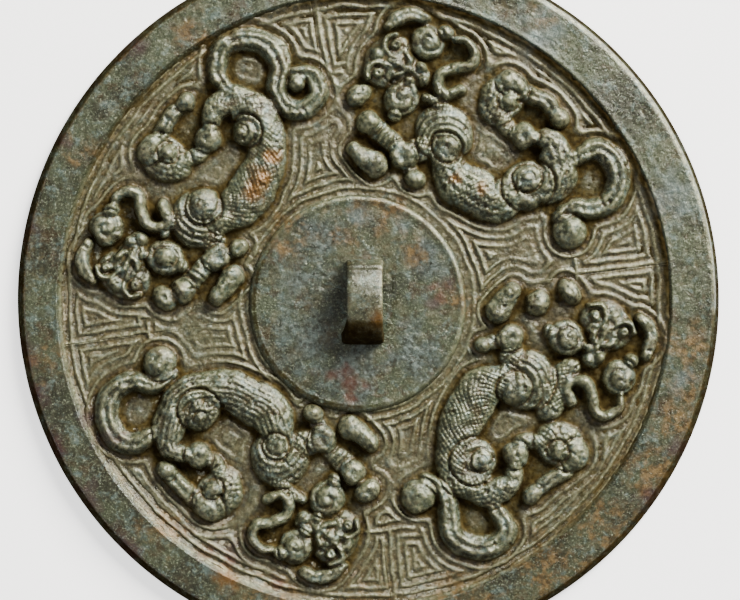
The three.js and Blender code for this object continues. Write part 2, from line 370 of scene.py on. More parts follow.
def joints_and_feet(which, at):
    """Knobs on the shoulder and the haunch, knee, elbow and wrist, and the paws."""
    haunch_finish, haunch_size, button = HAUNCHES[which]
    return [
        ("dome", (at("haunch", -1, -1), haunch_size, haunch_size), 0.82, haunch_finish),
        ("dome", (at("haunch", -6, 4), button, button), 0.92, "plain" if which in (0, 3) else "ring"),
        ("dome", (at("shoulder_knob"), *KNOB_SIZES[which]), 0.92, "pit"),
        ("dome", (at("knee"), 14, 14), 0.80, "pit"),
        ("dome", (at("hind_foot", -2, -5), 23, 29), 0.64, "round_scales"),
        ("dome", (at("hind_foot", -1, 12), 18, 14), 0.76, "plain"),
        ("dome", (at("hind_foot", 5, -5), 10, 10), 0.88, "plain"),
        ("dome", (at("claw"), 11, 10), 0.78, "plain"),
        ("dome", (at("elbow"), 15, 14), 0.72, "cup"),
        ("dome", (at("elbow_ball"), *BALL_SIZES[which]), 0.74, "cup" if which == 0 else "plain"),
        ("dome", (at("wrist"), 14, 13), 0.78, "plain"),
        ("limb", ([at("paw", -14, 2), at("paw"), at("paw", 12, 0)], [9, 11, 13]), 0.78, "plain"),
    ]


# %% [markdown]
# The head is seen from above: ear, horn and the wisp of hair behind it, then the skull with brows, eyes and
# the ridge of the nose, the muzzle, and the coils of cheek and jaw.

# %% The head


def head(which, at):
    """The head from the ear to the jaw."""
    wisp_line = [
        at("wisp", -19, 22), at("wisp", -8, 26), at("wisp", 5, 20), at("wisp", 7, 8), at("wisp", -4, -2),
        at("wisp", -12, -14), at("wisp", -8, -26), at("wisp", 3, -29), at("wisp", 12, -17),
    ]
    horn_line = [at("horn", -8, -16), at("horn", -4, -3), at("horn", 6, 7), at("horn", 20, 10)]
    snout_line = [at("head", 12, 1), at("head", 26, 3), at("head", 38, 5)]
    outer_brow = [at("head", -6, 26), at("head", -12, 17), at("head", -7, 8), at("head", 5, 5)]
    inner_brow = [at("head", -5, -25), at("head", -11, -16), at("head", -6, -7), at("head", 5, -4)]
    nose_line = [at("head", 4, 1), at("head", 16, 2), at("head", 26, 3)]
    lip_line = [at("head", 14, 14), at("head", 21, 9), at("head", 21, -3), at("head", 15, -9)]
    return [
        ("dome", (at("ear"), 11, 15, -20), 0.74, "pit"),
        ("limb", (horn_line, [5, 8, 8, 6]), 0.66, "ridges"),
        ("limb", (wisp_line, [4, 6, 6.5, 6.5, 6]), 0.66, "plain"),
        ("dome", (at("head", 3, 0), 24, 29), 0.62, "plain"),
        ("limb", (snout_line, [18, 16, 11]), 0.58, "plain"),
        ("dome", (at("head", -8, 1), 9, 10), 0.74, "plain"),
        ("limb", (outer_brow, [3, 4, 4, 4]), 0.73, "plain"),
        ("limb", (inner_brow, [3, 4, 4, 4]), 0.73, "plain"),
        ("dome", (at("head", -1, 17), 6, 6), 0.80, "eye"),
        ("dome", (at("head", 0, -16), 6, 6), 0.80, "eye"),
        ("limb", (nose_line, [6, 5, 6]), 0.76, "plain"),
        ("limb", (lip_line, [4, 5, 5, 4]), 0.74, "plain"),
        ("dome", (at("head", 33, 12), 7, 6), 0.74, "plain"),
        ("dome", (at("head", 30, -6), 6, 6), 0.72, "plain"),
        ("dome", (at("head", 42, 3), 6, 7), 0.68, "plain"),
        ("dome", (at("cheek_knob"), 9, 8), 0.80, "plain"),
        ("dome", (at("cheek"), 18, 18), 0.78, "whorl"),
        ("dome", (at("jaw", 3, -18), 8, 8), 0.66, "plain"),
        ("dome", (at("jaw"), 18, 20), 0.80, "whorl_back" if which in (1, 3) else "coil"),
    ]


def dragon_forms(which):
    """All parts of one dragon from the lowest layer up, as (form, its numbers, height share, finish)."""
    at = place_of(which)
    return tail_and_legs(which, at) + trunk(which, at) + joints_and_feet(which, at) + head(which, at)


# %% [markdown]
# Each finish is a short formula in the form's own coordinates. On a dome the first of these is the distance
# from its middle, 1 at the outline, and the second the angle round it. On a limb they are the distances
# along and across it, in squares. Every wave fades out towards the outline, apart from that of the eyes and
# pits.

# %% The finishes
ROW_PITCH = 6.2


def back_carving(kind, first, second):
    """The back's scales, which each dragon has in its own way."""
    if kind == "rows":
        return 0.16 * wave(second, 5.2) * (0.65 + 0.35 * wave(first, 4.2))
    if kind == "ridged":
        return 0.55 * scales(first, second) + 0.5 * ridges(second, 8)
    return scales(first, second) * (0.6 if kind == "faint" else 0.9)


def carving(finish, which, rise, first, second, half):
    """The small wave that a finish adds, in millimetres, fading out at the form's outline."""
    inside = ease(rise, 0.25, 0.6)
    if finish == "whorl":
        return whorl(first, second, 1.5) * inside
    if finish == "whorl_back":
        return whorl(first, second, 1.5, hand=-1) * inside
    if finish == "eye":
        return eye(first)
    if finish == "pit":
        return -0.4 * bump(first, 0, 0.25)
    if finish == "ball":
        return -0.12 * bump(first, 0.45, 0.12) * inside
    if finish == "rows":
        beads = 0.5 + 0.5 * np.cos(2 * math.pi * (second * 5.5 + 0.5 * np.floor(first / ROW_PITCH)))
        return 0.22 * wave(first, ROW_PITCH) * (1 - ROW_BEADS[which] * beads) * inside
    if finish == "ring":
        return (0.22 * bump(first, 0.72, 0.16) - 0.45 * bump(first, 0.42, 0.13)) * inside
    if finish == "cup":
        return (0.2 * bump(first, 0.75, 0.2) - 0.7 * bump(first, 0, 0.42)) * inside
    if finish == "coil":
        return (0.3 * bump(first, 0, 0.35) - 0.6 * bump(first, 0.58, 0.12)) * inside
    if finish == "scales":
        return scales(first, second) * inside
    if finish == "round_scales":
        return ring_scales(first, second, half) * inside
    if finish == "stripes":
        return 0.17 * wave(first, 6.5) * inside
    if finish == "ridges":
        return ridges(second, 9) * inside
    if finish == "tail":
        return 1.1 * ridges(second, 9.5) * inside
    if finish == "back":
        return back_carving(BACK_FINISH[which], first, second) * inside
    return np.zeros_like(rise)


# %% [markdown]
# Where two parts meet there is a seam. The upper one digs a narrow dip into the lower, deepest on its own
# outline. Small forms such as eyes and brows dig less, or the head would fall apart into beads.

# %% A dragon's height over the field
SEAM_DEPTH = {"dome": 0.38, "limb": 0.24}
SEAM_WIDTH = 2.4  # squares
SEAM_FULL = 13.0  # half width in squares from which a form digs the whole depth
NO_GAP = 60.0  # squares, more than any distance that the ground asks for
REACH = 40  # squares round a form in which it is worked out


def soft_max(a, b, k=0.16):
    """The larger of two heights, rounded where they are within k of each other."""
    h = np.clip(1 - np.abs(a - b) / k, 0, 1)
    return np.maximum(a, b) + h * h * k / 4


def dragon_height(which, x, y):
    """The height over the field, and the distance in squares to the nearest outline, at points in mm."""
    turn = math.radians(DRAGON_AZIMUTHS[which] - 90)
    u = (x * math.cos(turn) + y * math.sin(turn)) / SQUARE
    v = (y * math.cos(turn) - x * math.sin(turn)) / SQUARE
    height = np.zeros_like(u)
    gap = np.full_like(u, NO_GAP)
    for form, numbers, share, finish in dragon_forms(which):
        spots = np.array(numbers[0], float).reshape(-1, 2)
        reach = (max(numbers[1:3]) if form == "dome" else max(numbers[1])) + REACH
        near = (u > spots[:, 0].min() - reach) & (u < spots[:, 0].max() + reach)
        near &= (v > spots[:, 1].min() - reach) & (v < spots[:, 1].max() + reach)
        if not near.any():
            continue
        pu = u[near]
        pv = v[near]
        if form == "dome":
            rise, outside, first, second = dome(pu, pv, *numbers)
            half = numbers[1]
        else:
            rise, outside, first, second = limb(pu, pv, *numbers)
            half = max(numbers[1])
        if finish == "rows":
            knob_u, knob_v = PLACES["shoulder_knob"][which]
            first = np.hypot(pu - knob_u, pv - knob_v)
        raised = rise * share * RELIEF_HEIGHT
        raised = raised + carving(finish, which, rise, first, second, half) * (rise > 0)
        raised = np.maximum(raised, 0)
        depth = SEAM_DEPTH[form] * min(1, half / SEAM_FULL)
        seam = 1 - depth * bump(outside, 0, SEAM_WIDTH)
        height[near] = np.where(rise > 0, soft_max(height[near], raised), height[near] * seam)
        gap[near] = np.minimum(gap[near], outside)
    return height, gap


# %% [markdown]
# ## The ground
#
# Between the dragons the field is covered with thin raised lines, nested in angular panels. Seen as a map
# they are contour lines: each one keeps an even distance from what bounds its panel. So one distance is
# enough. It is the smallest of the distances to the rim, to the boss, to the upright and the cross bar in
# the gap between two dragons, and to a dragon's outline. A ridge is raised at every whole step of it.

# %% Lines at even distances
LINE_PITCH = 8.0  # squares from ridge to ridge
LINE_HEIGHT = 0.5
CONTOUR = 7.0  # squares from a dragon's outline to the first ridge round it
GAP_AZIMUTHS = [188.4, 100.1, 7.1, -85.0]
GAP_BARS = [(222, 8), (229, 14), (211, 12), (232, 24)]  # place of the cross bar outwards, and its half length
RIM_LINE = 296.0  # squares from the field's centre
BOSS_LINE = 117.0  # squares from the boss's centre


def ground_height(x, y, gap, crowded):
    """Raised lines where the distance to the panels' bounds is a whole number of pitches."""
    r = np.hypot(x, y) / SQUARE
    from_rim = np.abs(np.hypot(x - FIELD_CENTRE[0], y - FIELD_CENTRE[1]) / SQUARE - RIM_LINE)
    from_boss = np.abs(np.hypot(x - BOSS_CENTRE[0], y - BOSS_CENTRE[1]) / SQUARE - BOSS_LINE)
    panel = np.minimum(from_rim, from_boss)
    for azimuth, (bar, reach) in zip(GAP_AZIMUTHS, GAP_BARS):
        turn = math.radians(azimuth)
        outward = (x * math.cos(turn) + y * math.sin(turn)) / SQUARE
        sideways = (y * math.cos(turn) - x * math.sin(turn)) / SQUARE
        upright = np.maximum(np.abs(sideways), bar - outward)
        crossbar = np.maximum(np.abs(outward - bar), np.abs(sideways) - reach)
        here = outward > 0
        panel = np.where(here, np.minimum(panel, np.minimum(upright, crossbar)), panel)
    bounds = panel
    panel = np.minimum(bounds, np.abs(gap - CONTOUR))
    line = 0.5 + 0.5 * np.cos(2 * math.pi * panel / LINE_PITCH)
    line = ease(line, 0.35, 0.9)
    worn = 0.55 + 0.45 * ease(rough(x, y, 9.0, 40), -0.5, 0.6)
    kept = (1 - 0.6 * ease(bounds, 22, 36)) * (1 - ease(crowded, 0.38, 0.62))
    return LINE_HEIGHT * line * worn * kept * ease(gap, 1.5, 4.5) * ease(r, 100, 112)


def dragons_height(x, y):
    """Height over the field's floor of all four dragons, and the distance to the nearest one."""
    height = np.zeros_like(x)
    gap = np.full_like(x, NO_GAP)
    for which in range(4):
        raised, outside = dragon_height(which, x, y)
        height = np.maximum(height, raised)
        gap = np.minimum(gap, outside)
    return height, gap


# %% [markdown]
# ## The surfaces
#
# The relief is a fine grid laid round the field, one quadrilateral to about 0.2 mm. That is too much for
# one mesh, so it is made in four pieces that meet on the uprights between the dragons, where a seam can't
# be seen. All heights are worked out at once for the whole ring, so that neighbours agree along their seam.
# The clay of the mould was soft, so the heights are blurred a little, and the metal has corroded since.

# %% A blur that goes round the ring


def soften(grid, cells):
    """Gaussian blur of a ring-shaped grid: round the ring it wraps, across it the edge values go on."""
    reach = max(1, int(2.5 * cells))
    weights = np.exp(-0.5 * (np.arange(-reach, reach + 1) / cells) ** 2)
    weights /= weights.sum()
    wrapped = np.pad(grid, ((reach, reach), (0, 0)), mode="wrap")
    around = sum(w * wrapped[k : k + grid.shape[0]] for k, w in enumerate(weights))
    edged = np.pad(around, ((0, 0), (reach, reach)), mode="edge")
    return sum(w * edged[:, k : k + grid.shape[1]] for k, w in enumerate(weights))


# %% [markdown]
# The grid is made of rings round the boss that widen to the rim. The centre of each ring slides over from
# the boss's centre to the field's. The grid laps a little over both bounds, so that no gap opens between
# pieces.

# %% The grid of the ring
ROWS = 212
COLUMNS = 400
SEAMS = np.radians(GAP_AZIMUTHS + [GAP_AZIMUTHS[0] - 360])
INNER_LAP = 0.3
OUTER_LAP = 0.9
azimuth = np.concatenate([np.linspace(SEAMS[k], SEAMS[k + 1], COLUMNS, endpoint=False) for k in range(4)])
share = np.linspace(0, 1, ROWS + 1)
ring_radius = (BOSS_RADIUS - INNER_LAP) * (1 - share) + (FIELD_RADIUS + OUTER_LAP) * share
centre_x = BOSS_CENTRE[0] * (1 - share) + FIELD_CENTRE[0] * share
centre_y = BOSS_CENTRE[1] * (1 - share) + FIELD_CENTRE[1] * share
ring_x = centre_x + ring_radius * np.cos(azimuth)[:, None]
ring_y = centre_y + ring_radius * np.sin(azimuth)[:, None]
print("the ring's grid has", ring_x.size, "points")

# %% [markdown]
# The drawing is laid on the grid with an unsteady hand: each point looks up its height a little beside
# where it lies. Lines fade where limbs crowd, because there the cutter had no room for them.

# %% The dragons and the ground on the grid


def by_hand(seed):
    """How far a hand strays, in mm: a slow sway and a quick shake."""
    return 0.24 * rough(ring_x, ring_y, 4.0, seed) + 0.04 * rough(ring_x, ring_y, 1.2, seed + 2, 2)


hand_x = ring_x + by_hand(101)
hand_y = ring_y + by_hand(105)
raised, gap = (values.reshape(ring_x.shape) for values in dragons_height(hand_x.ravel(), hand_y.ravel()))
crowded = soften((gap < 2).astype(float), 12.0)
even_gap = np.minimum(soften(gap, 4.0), gap + 3)
drawn = ground_height(hand_x.ravel(), hand_y.ravel(), even_gap.ravel(), crowded.ravel()).reshape(ring_x.shape)

# %% [markdown]
# Earth has packed into the foot of the rim's wall on its unlit side, at the upper right, and levels the
# lines there. The whole is then blurred by less than a cell, as soft clay would.

# %% The cast relief
KEY_AZIMUTH = 50  # degrees, where the light comes from
SOIL = 1.05  # height of the packed earth at the wall
to_wall = FIELD_RADIUS - np.hypot(ring_x - FIELD_CENTRE[0], ring_y - FIELD_CENTRE[1])
unlit_wall = ease(facing(ring_x, ring_y, KEY_AZIMUTH), 0.2, 0.8)
soil = SOIL * (1 - ease(to_wall, -OUTER_LAP, 1.6)) * unlit_wall
uneven = 1 + 0.12 * rough(ring_x, ring_y, 2.6, 109)
cast = soften(np.maximum(raised * uneven, drawn * (1 - 0.7 * soil)) + soil, 0.75)

# %% [markdown]
# Last comes what time did: slow waves, a grain that is coarser on the forms than on the ground and coarsest
# on the heads, and pits.

# %% Corrosion of the relief
on_forms = ease(cast, 0.5, 1.5)
grains = 0.055 * rough(ring_x, ring_y, 0.7, 11, 2) + 0.13 * rough(ring_x, ring_y, 1.4, 13, 2) * on_forms
for dragon, (head_u, head_v) in enumerate(PLACES["head"]):
    tilt = math.radians(DRAGON_AZIMUTHS[dragon] - 90)
    head_x = (head_u * math.cos(tilt) - head_v * math.sin(tilt)) * SQUARE
    head_y = (head_u * math.sin(tilt) + head_v * math.cos(tilt)) * SQUARE
    near_head = 1 - ease(np.hypot(ring_x - head_x, ring_y - head_y), 5.0, 10.0)
    grains += 0.2 * rough(ring_x, ring_y, 1.2, 19, 2) * near_head * on_forms
waves = 0.08 * rough(ring_x, ring_y, 5.0, 7)
pits = -0.35 * ease(rough(ring_x, ring_y, 1.5, 23, 2), 0.65, 1.2)
relief = cast + waves + grains + pits * ease(cast, 0.3, 1.0)
print("the highest point of the relief is", round(float(relief.max()), 2), "mm over the field")

# %% [markdown]
# ## Hollows and crests
#
# What tells old bronze from grey paint is where the colours sit. Earth stays in the hollows, and hands rub
# the crests bare. Both are read off the heights: a blurred copy says how high the neighbourhood is, and the
# difference says whether a point lies in a hollow of it or on a crest. A wider blur gives the deep places
# between the forms, where hardly any light comes, as shade. The last value, ground, is 1 where no form
# rises over the field, which has a coat of pale clay. All four go into the mesh as attributes.

# %% Reading hollows and crests
near_level = soften(relief, 2.0)
wide_level = soften(relief, 8.0)
hollow = np.clip(0.15 + (wide_level - relief) / 0.9 + (near_level - relief) / 0.3, 0, 1)
crest_wear_and_highlight = np.clip((relief - wide_level) / 1.4 + (relief - near_level) / 0.16, 0, 1)
shade = np.clip((soften(relief, 12.0) - relief - 0.2) / 1.1, 0, 1)
# Painted shade, earth colour and no wear at the foot of the rim's wall on its unlit side.
shaded_wall_foot = (1 - ease(to_wall, -0.4, 1.2)) * unlit_wall
hollow = np.maximum(hollow, np.maximum(shaded_wall_foot, 0.8 * (1 - ease(to_wall, 0.3, 1.3))))
crest_wear_and_highlight = crest_wear_and_highlight * (1 - shaded_wall_foot)
shade = np.maximum(shade, 0.9 * shaded_wall_foot**2)
ground = (1 - ease(raised, 0.3, 1.1)) * (0.75 + 0.25 * rough(ring_x, ring_y, 2.4, 17))

# %% [markdown]
# ## Stains
#
# Beside the even patina the mirror has stains of its own: orange rust on the backs of two dragons, red
# cuprite on the boss and below it, purple and brown ones along the rim, bluish ones, and slate grey on the
# boss. Each is a spot with a place and a radius, in millimetres, whose outline is broken by noise. Of all
# spots of a kind the strongest counts at each point, and each kind is an attribute.

# %% Spots with broken outlines
SPOTS = {
    "rust": [
        (-22.6, 21.6, 2.6), (-21.0, 25.0, 2.6), (-19.2, 28.4, 1.8), (17.6, 24.4, 1.4), (22.6, 21.8, 1.6),
        (-28.3, -55.6, 3.0),
    ],
    "red": [
        (-7.9, -15.3, 1.6), (-4.2, -14.0, 1.3), (-3.6, -17.0, 2.0), (-3.8, -19.6, 1.5),
        (-0.4, -17.5, 1.6), (13.0, 2.4, 1.3), (14.2, 0.6, 1.3), (-36.0, -46.5, 2.0), (-32.0, -50.0, 2.0),
        (-28.0, -52.5, 1.6), (-17.6, -56.7, 1.6),
    ],
    "purple": [
        (-52.6, -27.5, 3.0), (13.4, -0.4, 1.8), (15.6, 2.6, 1.6), (-27.0, -49.5, 3.4),
        (-56.5, -24.0, 2.0), (-69.0, -10.0, 3.5), (-67.5, -18.0, 3.5), (-63.0, -30.0, 3.5),
        (-57.0, -40.0, 4.0), (-49.0, -49.5, 4.0), (-68.8, 14.0, 3.0), (-62.0, 32.0, 3.0),
        (-47.0, 51.0, 3.0), (63.0, -30.0, 3.0), (57.0, -40.0, 3.0),
    ],
    "blue": [
        (6.8, 15.5, 2.6), (-2.0, 17.0, 2.5), (61.0, 20.0, 5.0), (34.0, 53.5, 6.0), (62.7, -16.0, 3.0),
    ],
    "brown": [
        (63.6, -10.2, 6.0), (64.5, -19.0, 5.5), (61.3, -24.0, 6.0), (57.4, -34.0, 6.5),
        (48.0, -46.0, 8.0), (36.0, -55.0, 8.0), (20.0, -61.0, 8.0), (0.0, -64.0, 7.0),
        (-20.0, -61.0, 7.0), (-64.0, -12.0, 5.0), (-58.0, 30.0, 4.0), (-35.0, 53.0, 4.0),
        (35.0, 56.0, 3.0), (-4.0, 14.0, 5.0), (-16.0, 12.0, 5.0), (9.0, 9.5, 4.0), (18.0, 0.0, 3.5),
        (-40.0, -46.0, 5.0), (4.0, 18.0, 3.5),
    ],
    "slate": [
        (-9.0, 13.0, 5.0), (-13.0, 4.0, 6.0), (-12.0, -8.0, 7.0), (-2.0, -14.0, 7.0), (9.0, -11.0, 6.0),
        (12.0, 8.0, 4.0),
    ],
}
STAIN_SEEDS = {"rust": 51, "red": 61, "purple": 71, "blue": 81, "brown": 83, "slate": 87}


def stain(x, y, spots, seed):
    """The largest, over all spots, of 1 in the middle falling to 0 at the radius, with noise taken off."""
    broken = 0.55 * rough(x, y, 2.2, seed)
    level = np.zeros_like(x)
    for spot_x, spot_y, radius in spots:
        level = np.maximum(level, 1.15 - np.hypot(x - spot_x, y - spot_y) / radius + broken)
    return np.clip(level, 0, 1)


def stains(x, y):
    """All kinds of stain, by the name of their attribute."""
    return {kind: stain(x, y, SPOTS[kind], seed) for kind, seed in STAIN_SEEDS.items()}


# %% [markdown]
# ## From arrays to a mesh
#
# A mesh is three lists: points, faces and values on the points. The faces of a grid are found by counting:
# point (i, j) has the number i * width + j. Every piece here is closed, so that it is a solid. Some of its
# faces are shaded flat, such as walls and undersides, which keeps the shading of the others clean.

# %% Putting a piece together
made = []


def new_piece(name, points, smooth_faces, flat_faces, values):
    """A mesh object at the origin from points in mm, with smooth and flat faces and point attributes."""
    mesh = bpy.data.meshes.new(name)
    mesh.from_pydata(points * MM, [], smooth_faces.tolist() + flat_faces)
    smooth = np.arange(len(mesh.polygons)) < len(smooth_faces)
    mesh.polygons.foreach_set("use_smooth", smooth)
    for key, value in values.items():
        store = mesh.attributes.new(key, "FLOAT", "POINT")
        store.data.foreach_set("value", np.ascontiguousarray(value, np.float32).ravel())
    mesh.validate()
    mesh.update()
    piece = bpy.data.objects.new(name, mesh)
    bpy.context.scene.collection.objects.link(piece)
    made.append(piece)
    triangles = len(mesh.loops) - 2 * len(mesh.polygons)
    print(name, "has", len(mesh.vertices), "points and", triangles, "triangles")


def grid_faces(rows, columns, closed=False):
    """Quadrilaterals of a grid of points, (i, j), (i, j + 1), (i + 1, j + 1), (i + 1, j)."""
    i = np.arange(rows if closed else rows - 1)[:, None]
    j = np.arange(columns - 1)[None, :]
    here = i * columns + j
    after = ((i + 1) % rows) * columns + j
    return np.stack([here, here + 1, after + 1, after], axis=-1).reshape(-1, 4)


# %% [markdown]
# ## The relief in four pieces
#
# Each piece is a slab of the field with one dragon on it. Its top is its part of the grid. Its underside
# needs no detail, only two rows of points below the inner and the outer edge, and each side wall is one
# face.

# %% The slabs with the dragons
SLAB_BOTTOM = FIELD_THICKNESS - 0.6
stained = stains(ring_x, ring_y)
SLAB_NAMES = ["dragon_upper_left", "dragon_upper_right", "dragon_lower_right", "dragon_lower_left"]


def relief_slab(k):
    """One quarter of the ring as a closed slab: fine top, plain underside, walls of one face each."""
    pick = np.arange(k * COLUMNS, (k + 1) * COLUMNS + 1) % (4 * COLUMNS)
    x = ring_x[pick]
    y = ring_y[pick]
    top = np.stack([x, y, FIELD_THICKNESS + relief[pick]], axis=-1)
    under = np.stack([x[:, [0, -1]], y[:, [0, -1]], np.full((len(pick), 2), SLAB_BOTTOM)], axis=-1)
    points = np.concatenate([top.reshape(-1, 3), under.reshape(-1, 3)])
    width = ROWS + 1
    n = len(pick)
    first = n * width
    i = np.arange(n - 1)
    inner = np.stack([i * width, (i + 1) * width, first + (i + 1) * 2, first + i * 2], axis=-1)
    edge = (i + 1) * width - 1
    outer = np.stack([edge, first + i * 2 + 1, first + i * 2 + 3, edge + width], axis=-1)
    below = np.stack([first + i * 2, first + (i + 1) * 2, first + i * 2 + 3, first + i * 2 + 1], axis=-1)
    start_wall = list(range(width)) + [first + 1, first]
    last = (n - 1) * width
    end_wall = list(range(last, last + width))[::-1] + [first + (n - 1) * 2, first + (n - 1) * 2 + 1]
    flat = np.concatenate([inner, outer, below])[:, ::-1].tolist() + [start_wall, end_wall]
    count = n * 2
    values = {
        "hollow": np.concatenate([hollow[pick].ravel(), np.ones(count)]),
        "crest_wear_and_highlight": np.concatenate([crest_wear_and_highlight[pick].ravel(), np.zeros(count)]),
        "shade": np.concatenate([shade[pick].ravel(), np.ones(count)]),
        "ground": np.concatenate([ground[pick].ravel(), np.ones(count)]),
    }
    for key, level in stained.items():
        values[key] = np.concatenate([level[pick].ravel(), np.zeros(count)])
    new_piece(SLAB_NAMES[k], points, grid_faces(n, width)[:, ::-1], flat, values)


for quarter in range(4):
    relief_slab(quarter)

# %% [markdown]
# ## The disc and its rim
#
# Face, edge and rim are turned shapes, so they are made as on a wheel: a profile of radius and height,
# carried round the axis. The wall of the field has another centre than the outer edge, so each ring of the
# profile has a centre of its own, and those of the rim's flat band move over from one to the other.

# %% Turned shapes
RIM_TOP = FIELD_THICKNESS + RIM_RISE


def stretch(start, end, count):
    """Rows of (radius, height, share of the second centre, roughness) between two, the last left out."""
    return np.linspace(np.array(start, float), np.array(end, float), count, endpoint=False)


def circle(count):
    """Angles round a circle, as a column."""
    return np.linspace(0, 2 * math.pi, count, endpoint=False)[:, None]


def turned_points(rows, around, centre_from, centre_to):
    """Points of a turned shape: the row's centre plus its radius times (cos a, sin a), at its height."""
    radius, height, share_to = rows[:, 0], rows[:, 1], rows[:, 2]
    x = centre_from[0] * (1 - share_to) + centre_to[0] * share_to + radius * np.cos(around)
    y = centre_from[1] * (1 - share_to) + centre_to[1] * share_to + radius * np.sin(around)
    return x, y, np.broadcast_to(height, x.shape).copy()


def turned_piece(name, x, y, z, values):
    """A closed turned piece: a grid that wraps round, and one flat face on each small end ring."""
    rows, columns = x.shape
    points = np.stack([x, y, z], axis=-1).reshape(-1, 3)
    ends = [(np.arange(rows) * columns)[::-1].tolist(), (np.arange(rows) * columns + columns - 1).tolist()]
    new_piece(name, points, grid_faces(rows, columns, closed=True)[:, ::-1], ends, values)


# %% [markdown]
# The profile starts in the middle of the polished face. It goes out and up round the edge, in over the
# band, down the field's wall and back under the relief. Its corners are rounded, because none stays sharp.

# %% The disc's profile
AROUND_DISC = 720
BACK_START = 0.2  # mm over the polished face, below which neither dents nor stains go
BAND_OUT = MIRROR_RADIUS - EDGE_SLOPE
BAND_IN = FIELD_RADIUS + FIELD_SLOPE
disc_rows = np.concatenate([
    stretch((1.0, 0.0, 0, 0.3), (MIRROR_RADIUS - 0.5, 0.0, 0, 0.3), 16),
    stretch((MIRROR_RADIUS - 0.5, 0.0, 0, 0.2), (MIRROR_RADIUS - 0.05, 0.3, 0, 0.3), 4),
    stretch((MIRROR_RADIUS - 0.05, 0.3, 0, 0.3), (MIRROR_RADIUS, EDGE_UPRIGHT, 0, 0.5), 5),
    stretch((MIRROR_RADIUS, EDGE_UPRIGHT, 0, 0.6), (BAND_OUT + 0.25, RIM_TOP - 0.3, 0, 0.8), 8),
    stretch((BAND_OUT + 0.25, RIM_TOP - 0.3, 0, 0.8), (BAND_OUT - 0.35, RIM_TOP, 0, 1), 5),
    stretch((BAND_OUT - 0.35, RIM_TOP, 0, 1), (BAND_IN + 0.25, RIM_TOP, 1, 1), 34),
    stretch((BAND_IN + 0.25, RIM_TOP, 1, 1), (BAND_IN - 0.1, RIM_TOP - 0.35, 1, 0.8), 5),
    stretch((BAND_IN - 0.1, RIM_TOP - 0.35, 1, 0.8), (FIELD_RADIUS, FIELD_THICKNESS, 1, 0.5), 6),
    stretch((FIELD_RADIUS, FIELD_THICKNESS, 1, 0.3), (1.0, FIELD_THICKNESS - 0.4, 1, 0), 3),
    np.array([(1.0, FIELD_THICKNESS - 0.4, 1, 0)]),
])
print("the disc's profile has", len(disc_rows), "rows")

# %% [markdown]
# Corrosion only raises or lowers the back, so that the polished face stays flat on what it lies on. The
# band's inner lip is a little raised, and chips are missing from the outer edge.

# %% Dents, pits and chips of the disc
x, y, z = turned_points(disc_rows, circle(AROUND_DISC), np.zeros(2), FIELD_CENTRE)
outward = np.hypot(x, y)
dents = 0.09 * rough(x, y, 7.0, 31) + 0.05 * rough(x, y, 0.9, 33, 2)
corroded = -0.12 * ease(rough(x, y, 1.8, 35, 2), 0.7, 1.2)
lip = bump(disc_rows[:, 0], BAND_IN + 0.4, 0.5) * (disc_rows[:, 1] > RIM_TOP - 0.5)
z += disc_rows[:, 3] * (dents + corroded) * (z > BACK_START) + 0.10 * lip
chip_places = 40 * np.cos(circle(AROUND_DISC)), 40 * np.sin(circle(AROUND_DISC))
chips = -0.35 * ease(rough(*chip_places, 3.0, 37), 0.7, 1.3)
z += chips * ease(outward, BAND_OUT, MIRROR_RADIUS) * (z > EDGE_UPRIGHT)

# %% [markdown]
# Colours follow the edges. The outer bevel gets painted shade except on its right side, which faces the light
# and gets a painted highlight, and the very edge gets painted shade all round; along the bevel's top runs a
# thin tan line. The field's wall gets a painted highlight at the lower left, where it faces the light, and
# painted shade with clay elsewhere.

# %% The disc's colours
on_back = (z > BACK_START).astype(float)
right_side = ease(facing(x, y, 38), 0.68, 0.86)
lower_left = ease(facing(x, y, 235), -0.1, 0.6)
wall = 1 - ease(np.hypot(x - FIELD_CENTRE[0], y - FIELD_CENTRE[1]), BAND_IN - 0.35, BAND_IN + 0.1)
# Painted shade with clay on the field's wall, but not at the lower left, where it faces the light.
wall_shade_and_clay = (1 - lower_left) * wall * 0.7 * on_back
# Painted highlight on the upper part of the wall at the lower left, which faces the light.
lit_wall_highlight = 0.9 * wall * lower_left * (z > FIELD_THICKNESS + 0.45)
# Painted highlight along the bevel on the right side, which faces the light.
lit_bevel_highlight = 1.6 * bump(outward, MIRROR_RADIUS - 1.3, 0.33) * right_side
tan_line = bump(outward, MIRROR_RADIUS - 1.6, 0.25) * (1 - right_side) * (z > EDGE_UPRIGHT)
bevel = ease(outward, BAND_OUT - 0.35, BAND_OUT + 0.1) * (z > EDGE_UPRIGHT)
outermost = ease(outward, MIRROR_RADIUS - 0.95, MIRROR_RADIUS - 0.7) * on_back
# Painted shade on the bevel away from the light, and along the very edge all round.
edge_shade = np.maximum(bevel * (1 - right_side), outermost) * (1 - 0.35 * tan_line)
low_wall = 0.5 * wall * on_back * (z < FIELD_THICKNESS + 0.5)
disc_values = {
    "hollow": 0.1 + 0.4 * ease(-dents - corroded, 0.02, 0.16) + low_wall,
    "crest_wear_and_highlight": np.maximum(lit_bevel_highlight, lit_wall_highlight),
    "shade": np.clip(edge_shade + wall_shade_and_clay, 0, 1),
    "ground": wall_shade_and_clay,
}
disc_values.update({kind: level * on_back for kind, level in stains(x, y).items()})
disc_values["brown"] = np.maximum(disc_values["brown"], 0.5 * tan_line)
turned_piece("disc", x, y, z, disc_values)
